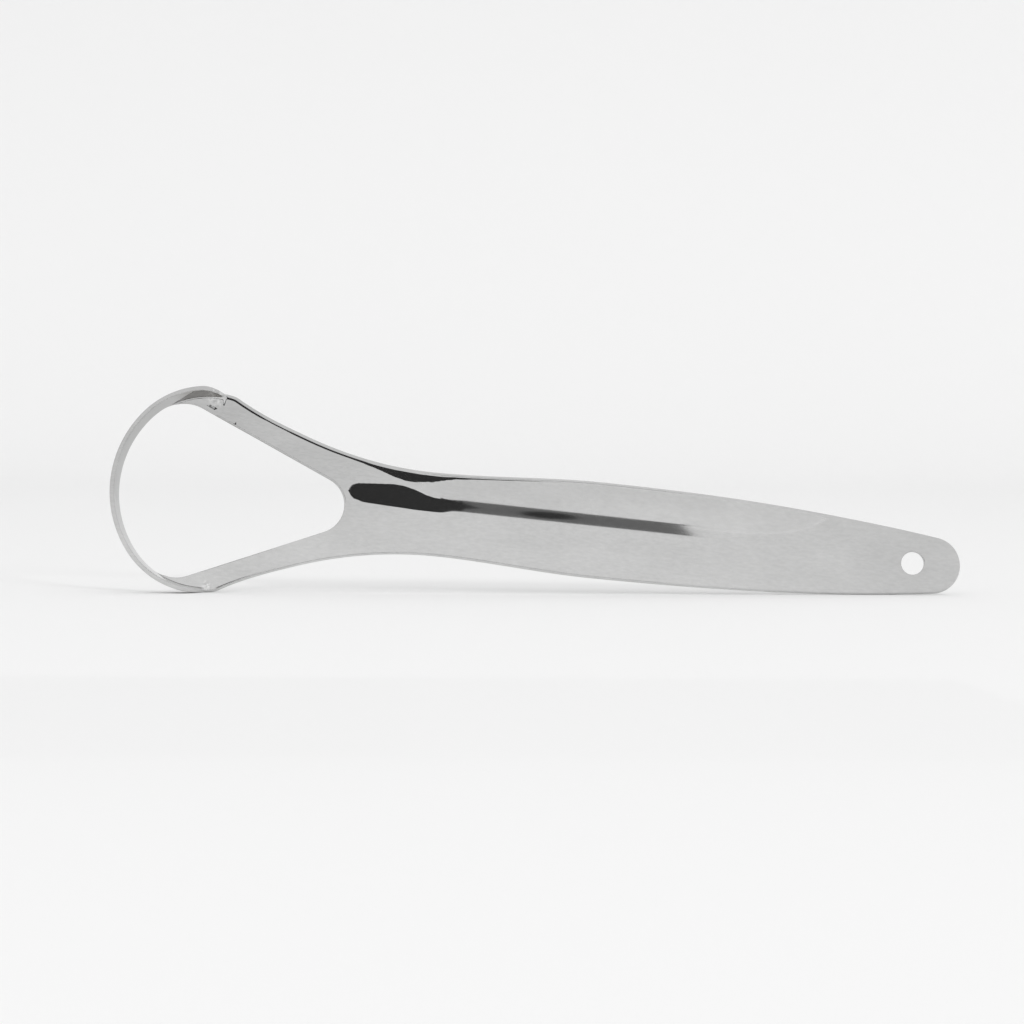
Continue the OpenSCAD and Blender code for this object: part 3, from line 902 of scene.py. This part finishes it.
    def thicken(self, mesh: bpy.types.Mesh, name: str, thickness: float, steps: int,
                finish: bpy.types.Material) -> bpy.types.Object:
        """Runs the tree on a middle surface.

        Args:
            mesh: The middle surface.
            name: Name of the finished piece.
            thickness: Thickness of the sheet in metres.
            steps: Steps round each corner of the edge.
            finish: Material of the piece.

        Returns:
            A plain mesh object with outward faces and exact normals.
        """
        raw = bpy.data.objects.new(name + "_middle", mesh)
        bpy.context.scene.collection.objects.link(raw)
        modifier = raw.modifiers.new("thickness", "NODES")
        modifier.node_group = self.tree
        modifier[self.thickness.identifier] = thickness
        modifier[self.steps.identifier] = steps
        modifier[self.finish.identifier] = finish
        graph = bpy.context.evaluated_depsgraph_get()
        made = bpy.data.meshes.new_from_object(raw.evaluated_get(graph), preserve_all_data_layers=True,
                                               depsgraph=graph)
        bpy.data.objects.remove(raw)
        made.name = name
        self.close(made)
        piece = bpy.data.objects.new(name, made)
        bpy.context.scene.collection.objects.link(piece)
        return piece

    @staticmethod
    def close(mesh: bpy.types.Mesh) -> None:
        """Turns the faces outwards and gives the points the normals that the tree worked out."""
        work = bmesh.new()
        work.from_mesh(mesh)
        open_edges = sum(1 for e in work.edges if not e.is_manifold)
        bmesh.ops.recalc_face_normals(work, faces=work.faces)
        work.to_mesh(mesh)
        work.free()
        log.info("%s: %d faces, %d open edges", mesh.name, len(mesh.polygons), open_edges)
        normals = np.empty(len(mesh.vertices) * 3)
        mesh.attributes["shade_normal"].data.foreach_get("vector", normals)
        for name in ("sheet_normal", "edge_outward", "edge_rounding", "middle_place", "shade_normal", "free_side"):
            if name in mesh.attributes:
                mesh.attributes.remove(mesh.attributes[name])
        mesh.normals_split_custom_set_from_vertices(unit(normals.reshape(-1, 3)).tolist())


@dataclass(frozen=True)
class PolishedSteel:
    """Stainless steel polished along the handle, marked where the band runs out, with painted shade and reflections.

    Attributes:
        grey: Grey of the steel.
        roughness: Roughness of the polish.
        scratch_height: Height of the finest scratches.
        scratch_scale: Scale of the scratches.
        grain: Change of tone in the grain.
        grain_scale: Scale of the grain.
        cloud: Slow change of tone over the face.
        cloud_scale: Scale of the slow change.
        brush_turn: Turn of the scratches from the floor, in degrees.
        highest_tone: Limit of the tone in the wrinkled corners.
        corners: Middles of the wrinkled corners of the loop, as X and Z in metres.
        corner_r: Radius of a wrinkled corner.
        wrinkle_height: Height of the wrinkles.
        wrinkle_scale: Scale of the wrinkles.
        crease: Ends of the short crease at the upper corner, as X and Z in metres.
        crease_width: Width of the crease.
        crease_slope: Slope of the crease's side.
        speckle: Change of tone in the wrinkled corners.
        loop_middle: Middle of the loop.
        painted_wall_shade: Painted shade on the band's inner face, as a share of the rest's tone.
        painted_wedge_shade: Painted shade at the inner face's upper end, as red, green and blue shares of the steel's.
    """

    grey: float = 0.615
    roughness: float = 0.06
    scratch_height: float = 0.4e-6
    scratch_scale: float = 5200.0
    grain: float = 0.2
    grain_scale: float = 2300.0
    cloud: float = 0.2
    cloud_scale: float = 160.0
    brush_turn: float = -5.4
    highest_tone: float = 1.5
    corners: tuple[tuple[float, float], ...] = ((-0.0566, 0.0342), (-0.0579, 0.0012))
    corner_r: float = 0.0022
    wrinkle_height: float = 40e-6
    wrinkle_scale: float = 1500.0
    crease: tuple[tuple[float, float], ...] = ((-0.0586, 0.0332), (-0.0562, 0.0318))
    crease_width: float = 0.0005
    crease_slope: float = 0.155
    speckle: float = 2.2
    loop_middle: tuple[float, float, float] = (-0.055, 0.0, 0.0172)
    painted_wall_shade: float = 0.7
    painted_wedge_shade: tuple[float, float, float] = (0.6, 0.58, 0.54)

    @staticmethod
    def blot(w: Wiring, place: Any, middle: tuple[float, float], radius: float) -> Any:
        """Mask that falls from 1 at a place to 0 at its radius, at any depth.

        Args:
            w: The tree's wiring.
            place: Object coordinates.
            middle: X and Z of the place.
            radius: Radius of the mask.

        Returns:
            The mask.
        """
        flat = w.vector("MULTIPLY", place, (1.0, 0.0, 1.0))
        away = w.vector("DISTANCE", flat, (middle[0], 0.0, middle[1]))
        return w.math("SUBTRACT", 1.0, w.math("DIVIDE", away, radius), clamp=True)

    @staticmethod
    def rise(w: Wiring, value: Any, low: float, high: float) -> Any:
        """Rises from 0 to 1 as a value goes from low to high.

        Args:
            w: The tree's wiring.
            value: The value.
            low: Where the rise starts.
            high: Where it ends.

        Returns:
            The risen value.
        """
        return w.put("ShaderNodeMapRange", {"Value": value, "From Min": low, "From Max": high, "To Min": 0.0,
                                            "To Max": 1.0}, "Result", interpolation_type="SMOOTHSTEP")

    def inner_wall(self, w: Wiring, place: Any) -> Any:
        """Mask of the band's inner face, whose normals point at the middle of the loop, where shade is painted.

        Args:
            w: The tree's wiring.
            place: Object coordinates.

        Returns:
            The mask.
        """
        towards = w.vector("MULTIPLY", w.vector("SUBTRACT", self.loop_middle, place), (1.0, 0.0, 1.0))
        normal = w.put("ShaderNodeNewGeometry", {}, "Normal")
        facing = w.vector("DOT_PRODUCT", w.vector("NORMALIZE", towards), normal)
        front = w.put("ShaderNodeSeparateXYZ", {"Vector": place}, "X")
        return w.math("MULTIPLY", self.rise(w, facing, 0.6, 0.9), self.rise(w, front, -0.05, -0.054))

    def crease_step(self, w: Wiring, place: Any) -> Any:
        """Height of a step along the crease, which fades at both ends.

        Args:
            w: The tree's wiring.
            place: Object coordinates.

        Returns:
            The height in metres.
        """
        (x0, z0), (x1, z1) = self.crease
        run = Vector((x1 - x0, 0.0, z1 - z0))
        level = run.normalized()
        up = Vector((-level.z, 0.0, level.x))
        from_start = w.vector("SUBTRACT", place, (x0, 0.0, z0))
        share = w.math("DIVIDE", w.vector("DOT_PRODUCT", from_start, tuple(level)), run.length)
        ends = w.math("MULTIPLY", w.math("MULTIPLY", share, 3.0, clamp=True),
                      w.math("MULTIPLY", w.math("SUBTRACT", 1.0, share), 3.0, clamp=True))
        side = w.math("DIVIDE", w.vector("DOT_PRODUCT", from_start, tuple(up)), self.crease_width)
        step = w.math("MULTIPLY", w.math("ADD", side, 0.5, clamp=True),
                      w.math("MULTIPLY_ADD", side, -0.25, 1.125, clamp=True))
        return w.math("MULTIPLY", w.math("MULTIPLY", step, ends), self.crease_slope * self.crease_width)

    def noise(self, w: Wiring, place: Any, along: float, scale: float, detail: float, rough: float = 0.5) -> Any:
        """Noise drawn out along the handle.

        Args:
            w: The tree's wiring.
            place: Coordinates.
            along: Share of the scale that is left along the handle.
            scale: Scale across it.
            detail: Detail of the noise.
            rough: Roughness of the noise.

        Returns:
            The noise, from 0 to 1.
        """
        drawn = w.vector("MULTIPLY", place, (along, 1.0, 1.0))
        return w.put("ShaderNodeTexNoise", {"Vector": drawn, "Scale": scale, "Detail": detail, "Roughness": rough},
                     "Fac")

    def painted_reflection_tone(self, w: Wiring, x: Any, z: Any) -> Any:
        """Painted darker reflections by place: a little darker on the arms, on the upper side and at the end of the
        handle.

        Args:
            w: The tree's wiring.
            x: Object X.
            z: Object Z.

        Returns:
            The tone as a share.
        """
        arms = w.math("MULTIPLY", self.rise(w, x, -0.02, -0.052),
                      w.math("MULTIPLY_ADD", self.rise(w, z, 0.006, 0.02), -0.075, -0.01))
        upper = w.math("MULTIPLY_ADD", self.rise(w, z, 0.006, 0.026), -0.065, 1.025)
        end = w.math("MULTIPLY_ADD", self.rise(w, x, 0.035, 0.072), -0.1, 1.0)
        return w.math("MULTIPLY", w.math("ADD", arms, upper), end)

    def material(self) -> bpy.types.Material:
        """Builds the steel."""
        steel = bpy.data.materials.new("polished_steel")
        steel.use_nodes = True
        steel.node_tree.nodes.clear()
        w = Wiring(steel.node_tree)
        place = w.put("ShaderNodeTexCoord", {}, "Object")
        axes = w.put("ShaderNodeSeparateXYZ", {"Vector": place})
        x, z = axes.outputs["X"], axes.outputs["Z"]
        turned = w.put("ShaderNodeMapping", {"Vector": place, "Rotation": (0.0, math.radians(self.brush_turn), 0.0)},
                       "Vector")
        scratches = self.noise(w, turned, 0.03, self.scratch_scale, 3.0, 0.6)
        grain = self.noise(w, turned, 0.35, self.grain_scale, 2.0, 0.6)
        cloud = self.noise(w, turned, 0.4, self.cloud_scale, 2.0)
        wrinkles = self.noise(w, place, 1.0, self.wrinkle_scale, 3.0, 0.6)
        tone = w.math("MULTIPLY_ADD", w.math("SUBTRACT", grain, 0.5), self.grain, 1.0)
        tone = w.math("MULTIPLY_ADD", w.math("SUBTRACT", cloud, 0.5), self.cloud, tone)
        # Painted darker reflections: the arms, the upper side and the end of the handle are darkened in colour.
        tone = w.math("MULTIPLY", tone, self.painted_reflection_tone(w, x, z))
        upper_corner = self.blot(w, place, self.corners[0], self.corner_r)
        lower_corner = self.blot(w, place, self.corners[1], self.corner_r * 0.5)
        normal = w.put("ShaderNodeSeparateXYZ", {"Vector": w.put("ShaderNodeNewGeometry", {}, "Normal")})
        on_front = self.rise(w, normal.outputs["Y"], 0.2, -0.4)
        marks = w.math("MULTIPLY", w.math("SUBTRACT", wrinkles, 0.42),
                       w.math("MULTIPLY", w.math("ADD", upper_corner, lower_corner), on_front))
        tone = w.math("MINIMUM", w.math("MULTIPLY_ADD", marks, self.speckle, tone), self.highest_tone)
        inside = self.inner_wall(w, place)
        # Painted shade: the band's inner face is darkened to a share of the rest's tone.
        tone = w.math("MULTIPLY", tone, w.math("MULTIPLY_ADD", inside, self.painted_wall_shade - 1.0, 1.0))
        # Painted shade: the upper end of the band's inner face is darkened and tinted brownish.
        wedge = w.math("MULTIPLY", inside, w.math("MULTIPLY", self.rise(w, z, 0.027, 0.031),
                                                  self.rise(w, x, -0.064, -0.061)))
        tint = w.put("ShaderNodeMix", {"Factor": wedge}, data_type="RGBA")
        plain, dark = [s for s in tint.inputs if s.type == "RGBA"]
        w.feed(plain, (self.grey, self.grey, self.grey * 0.995, 1.0))
        w.feed(dark, (*(self.grey * share for share in self.painted_wedge_shade), 1.0))
        colour = w.vector("SCALE", next(s for s in tint.outputs if s.type == "RGBA"), scale=tone)
        relief = w.math("MULTIPLY_ADD", w.math("MULTIPLY", wrinkles, upper_corner), self.wrinkle_height,
                        self.crease_step(w, place))
        relief = w.math("MULTIPLY_ADD", scratches, self.scratch_height, relief)
        bump = w.put("ShaderNodeBump", {"Height": w.math("MULTIPLY", relief, 1e4), "Strength": 1.0, "Distance": 1e-4},
                     "Normal")
        rough = w.math("MULTIPLY_ADD", scratches, 0.04, self.roughness - 0.02)
        shader = w.put("ShaderNodeBsdfPrincipled", {"Base Color": colour, "Metallic": 1.0, "Roughness": rough,
                                                    "Normal": bump}, "BSDF")
        w.put("ShaderNodeOutputMaterial", {"Surface": shader})
        return steel


@dataclass(frozen=True)
class StudioPaper:
    """White paper of the floor and the backdrop, with painted shade that darkens it up the backdrop.

    Attributes:
        tone: Grey of the floor.
        painted_fade: Grey of the backdrop's painted shade, as a share of the floor's.
        painted_fade_heights: Heights between which the painted shade darkens the paper, in metres.
    """

    tone: Tone = Tone.PAPER
    painted_fade: float = 0.94
    painted_fade_heights: tuple[float, float] = (0.02, 0.3)

    def material(self) -> bpy.types.Material:
        """Builds the paper."""
        paper = bpy.data.materials.new("studio_paper")
        paper.use_nodes = True
        w = Wiring(paper.node_tree)
        shader = paper.node_tree.nodes["Principled BSDF"]
        place = w.put("ShaderNodeSeparateXYZ", {"Vector": w.put("ShaderNodeTexCoord", {}, "Object")}, "Z")
        # Painted shade: the paper grows darker up the backdrop.
        low, high = self.painted_fade_heights
        rise = w.put("ShaderNodeMapRange", {"Value": place, "From Min": low, "From Max": high,
                                            "To Min": self.tone.value, "To Max": self.tone.value * self.painted_fade}, "Result")
        w.feed(shader.inputs["Base Color"], rise)
        shader.inputs["Roughness"].default_value = 0.9
        shader.inputs["Specular IOR Level"].default_value = 0.1
        return paper


@dataclass
class Scraper:
    """The scraper's one pressed sheet."""

    form: SheetForm = field(default_factory=SheetForm)
    steel: PolishedSteel = field(default_factory=PolishedSteel)
    corner_steps: int = 5

    def middle_surface(self) -> bpy.types.Mesh:
        """Builds the middle surface from the strip of the loop and the fields of the handle."""
        strip, sheet = LoopStrip(self.form), SheetMesh(self.form)
        handle = DishedHandle(self.form, strip.edge_steps)
        s = self.form.sizes
        upper, lower = strip.half(Side.UPPER.value), strip.half(Side.LOWER.value)
        grid, normals, rounds = (np.concatenate([u[::-1], l[1:]]) for u, l in zip(upper, lower))
        loop = sheet.add_points(grid, normals, rounds)
        sheet.add_grid(loop)
        fork = handle.fork_line(grid[0, 0, :2], grid[-1, 0, :2])
        fork_numbers = sheet.add_plan(fork, s.edge_round)
        start = np.vstack([grid[0, ::-1, :2], fork, grid[-1, :, :2]])
        start_numbers = np.concatenate([loop[0, ::-1], fork_numbers, loop[-1, :]])
        fork_grid = handle.fork_field(start)
        numbers = sheet.add_plan(fork_grid[1:], s.edge_round)
        sheet.add_grid(np.vstack([start_numbers[None], numbers]))
        trough = handle.trough_field(len(start) - 1)
        trough_numbers = sheet.add_plan(trough, s.edge_round)
        sheet.add_grid(np.vstack([numbers[-1:], trough_numbers]))
        tail = handle.tail_field(trough[-1])
        outline = sheet.add_plan(tail[0, len(start):], s.edge_round)
        inside = sheet.add_plan(tail[1:], s.hole_round)
        first = np.concatenate([trough_numbers[-1], outline])
        sheet.add_grid(np.vstack([first[None], inside]), closed=True)
        return sheet.to_mesh("sheet_middle")

    def build(self) -> bpy.types.Object:
        """Builds the sheet and puts it in place of the CAD's four regions."""
        piece = SheetThickness().thicken(self.middle_surface(), "pressed_sheet", self.form.sizes.sheet_t * MM,
                                         self.corner_steps, self.steel.material())
        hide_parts("handle", "upper_arm", "lower_arm", "scraping_band")
        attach(piece, "root")
        return piece


@dataclass
class Studio:
    """Floor, backdrop, dark cards, lights and the camera, in metres, degrees and pixels.

    Attributes:
        azimuth: Bearing of the camera.
        height: Height of the camera.
        distance: Distance of the camera in plan.
        centre_px: Pixels across and down that the camera aims past the scraper's middle.
        roll: Roll of the camera.
        focal_px: Focal length of the camera in pixels.
        frame_px: Side of the picture.
        wall_y: Place of the backdrop.
        sweep_r: Radius of the sweep into the backdrop.
        floor_front: Front edge of the floor.
        stage_half: Half width of the floor, and height of the backdrop.
        shade_y: Place of the dark cards.
        card_gap: Distance between the cards.
        foot_z: Height of the upper foot over the floor.
        black_side: Outline of the black card as X and Z.
        dim_side: Outline of the dim card as X and Z.
        black_foot: Outline of the black card on the floor as X and Y.
        dim_foot: Outline of the dim card on the floor as X and Y.
        spot: Middle of the round dark spot as X and Z.
        spot_half: Half width and half height of the spot.
        level_light: Light of the surroundings.
        seen_light: Brightness of the surroundings to the camera and in reflections.
        lamp_power: Power of the lamp.
        lamp_size: Width and height of the lamp.
        lamp_place: Place of the lamp.
    """

    azimuth: float = -1.807
    height: float = 0.0322
    distance: float = 0.634
    centre_px: tuple[float, float] = (26.47, 410.17)
    roll: float = 0.313
    focal_px: float = 3616.6
    frame_px: int = 1024
    wall_y: float = 1.4
    sweep_r: float = 0.5
    floor_front: float = -1.2
    stage_half: float = 3.0
    shade_y: float = -0.3
    card_gap: float = 0.002
    foot_z: float = 0.0006
    black_side: tuple[tuple[float, float], ...] = (
        (-0.084, 0.0), (-0.0175, 0.0), (-0.0096, 0.022), (-0.0165, 0.0495), (-0.13, 0.0495), (-0.13, 0.02),
        (-0.084, 0.02))
    dim_side: tuple[tuple[float, float], ...] = ((-0.02, 0.0), (0.051, 0.0), (0.0595, 0.0495), (-0.02, 0.0495))
    black_foot: tuple[tuple[float, float], ...] = ((-0.077, -0.2), (-0.018, -0.2), (-0.0175, -0.3), (-0.084, -0.3))
    dim_foot: tuple[tuple[float, float], ...] = ((-0.022, -0.2), (0.044, -0.2), (0.051, -0.3), (-0.022, -0.3))
    spot: tuple[float, float] = (0.0118, 0.021)
    spot_half: tuple[float, float] = (0.0084, 0.0165)
    level_light: float = 0.995
    seen_light: float = 0.905
    lamp_power: float = 23.0
    lamp_size: tuple[float, float] = (0.6, 0.5)
    lamp_place: tuple[float, float, float] = (1.32, -2.48, 1.04)

    def camera(self) -> bpy.types.Object:
        """Places the camera as in the photograph."""
        data = bpy.data.cameras.new("camera")
        data.sensor_width = 36.0
        data.lens = 36.0 * self.focal_px / self.frame_px
        data.clip_start, data.clip_end = 0.01, 20.0
        camera = bpy.data.objects.new("camera", data)
        turn = math.radians(self.azimuth)
        camera.location = (self.distance * math.sin(turn), -self.distance * math.cos(turn), self.height)
        across, down = self.centre_px
        level = Euler((math.pi / 2, 0.0, turn)).to_matrix()
        aim = Euler((math.atan((down - self.frame_px / 2) / self.focal_px),
                     math.atan(across / self.focal_px), math.radians(self.roll)), "XYZ").to_matrix()
        camera.matrix_world = Matrix.Translation(camera.location) @ (level @ aim).to_4x4()
        bpy.context.scene.collection.objects.link(camera)
        bpy.context.scene.camera = camera
        return camera

    def sweep(self) -> bpy.types.Object:
        """The floor, curving up into the backdrop."""
        profile = [(self.floor_front, 0.0), (self.floor_front / 2, 0.0), (self.wall_y - self.sweep_r, 0.0)]
        for i in range(1, 25):
            a = math.pi / 2 * i / 24
            profile.append((self.wall_y - self.sweep_r + self.sweep_r * math.sin(a),
                            self.sweep_r * (1 - math.cos(a))))
        profile.append((self.wall_y, self.stage_half))
        verts = [(x, y, z) for y, z in profile for x in (-self.stage_half, self.stage_half)]
        faces = [(2 * i, 2 * i + 1, 2 * i + 3, 2 * i + 2) for i in range(len(profile) - 1)]
        mesh = bpy.data.meshes.new("floor")
        mesh.from_pydata(verts, [], faces)
        mesh.materials.append(StudioPaper().material())
        mesh.polygons.foreach_set("use_smooth", [True] * len(faces))
        floor = bpy.data.objects.new("floor", mesh)
        bpy.context.scene.collection.objects.link(floor)
        return floor

    def card(self, name: str, tone: Tone, corners: list[tuple[float, float, float]]) -> bpy.types.Object:
        """A dark card that only reflections see.

        Args:
            name: Name of the card.
            tone: Grey of the card.
            corners: Its corners in order.

        Returns:
            The card.
        """
        mesh = bpy.data.meshes.new(name)
        mesh.from_pydata(corners, [], [tuple(range(len(corners)))])
        finish = bpy.data.materials.new(name)
        finish.use_nodes = True
        finish.node_tree.nodes.clear()
        w = Wiring(finish.node_tree)
        glow = w.put("ShaderNodeEmission", {"Color": (tone.value,) * 3 + (1.0,), "Strength": 1.0}, "Emission")
        w.put("ShaderNodeOutputMaterial", {"Surface": glow})
        mesh.materials.append(finish)
        card = bpy.data.objects.new(name, mesh)
        for ray in ("visible_camera", "visible_diffuse", "visible_shadow", "visible_transmission"):
            setattr(card, ray, False)
        bpy.context.scene.collection.objects.link(card)
        return card

    def cards(self) -> None:
        """The dark front of the studio: a black side, a dim side with a round dark spot, and their feet."""
        y, gap = self.shade_y, self.card_gap
        self.card("black_side", Tone.BLACK, [(x, y, z) for x, z in self.black_side])
        self.card("dim_side", Tone.SHADE, [(x, y - gap, z) for x, z in self.dim_side])
        self.card("black_foot", Tone.BLACK, [(*place, self.foot_z) for place in self.black_foot])
        self.card("dim_foot", Tone.SHADE, [(*place, self.foot_z / 2) for place in self.dim_foot])
        turns = [2 * math.pi * i / 48 for i in range(48)]
        self.card("dark_spot", Tone.BLACK, [(self.spot[0] + self.spot_half[0] * math.cos(a), y + gap,
                                             self.spot[1] + self.spot_half[1] * math.sin(a)) for a in turns])

    def world(self) -> None:
        """White surroundings, as bright in reflections as the floor is."""
        world = bpy.data.worlds.new("studio")
        bpy.context.scene.world = world
        world.use_nodes = True
        world.node_tree.nodes.clear()
        w = Wiring(world.node_tree)
        path = w.node("ShaderNodeLightPath")
        seen = w.math("MAXIMUM", path.outputs["Is Camera Ray"],
                      w.math("MAXIMUM", path.outputs["Is Glossy Ray"], path.outputs["Is Transmission Ray"]))
        strength = w.math("MULTIPLY_ADD", seen, self.seen_light - self.level_light, self.level_light)
        back = w.put("ShaderNodeBackground", {"Color": (1.0, 1.0, 1.0, 1.0), "Strength": strength}, "Background")
        w.put("ShaderNodeOutputWorld", {"Surface": back})

    def lamp(self) -> bpy.types.Object:
        """A soft low lamp from the front on the right."""
        data = bpy.data.lights.new("lamp", "AREA")
        data.shape = "RECTANGLE"
        data.size, data.size_y = self.lamp_size
        data.energy = self.lamp_power
        lamp = bpy.data.objects.new("lamp", data)
        lamp.location = self.lamp_place
        lamp.rotation_euler = (Vector((0, 0, 0)) - lamp.location).to_track_quat("-Z", "Y").to_euler()
        lamp.visible_glossy = False
        bpy.context.scene.collection.objects.link(lamp)
        return lamp

    def build(self) -> None:
        """Sets the studio up."""
        self.camera()
        self.sweep()
        self.world()
        self.lamp()
        self.cards()
        bpy.context.scene.view_settings.view_transform = "Standard"


def main() -> None:
    """Builds the studio and the scraper."""
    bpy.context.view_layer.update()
    Studio().build()
    log.info("studio ready")
    piece = Scraper().build()
    log.info("%s: %d triangles", piece.name, sum(len(p.vertices) - 2 for p in piece.data.polygons))


if __name__ == "__main__":
    main()
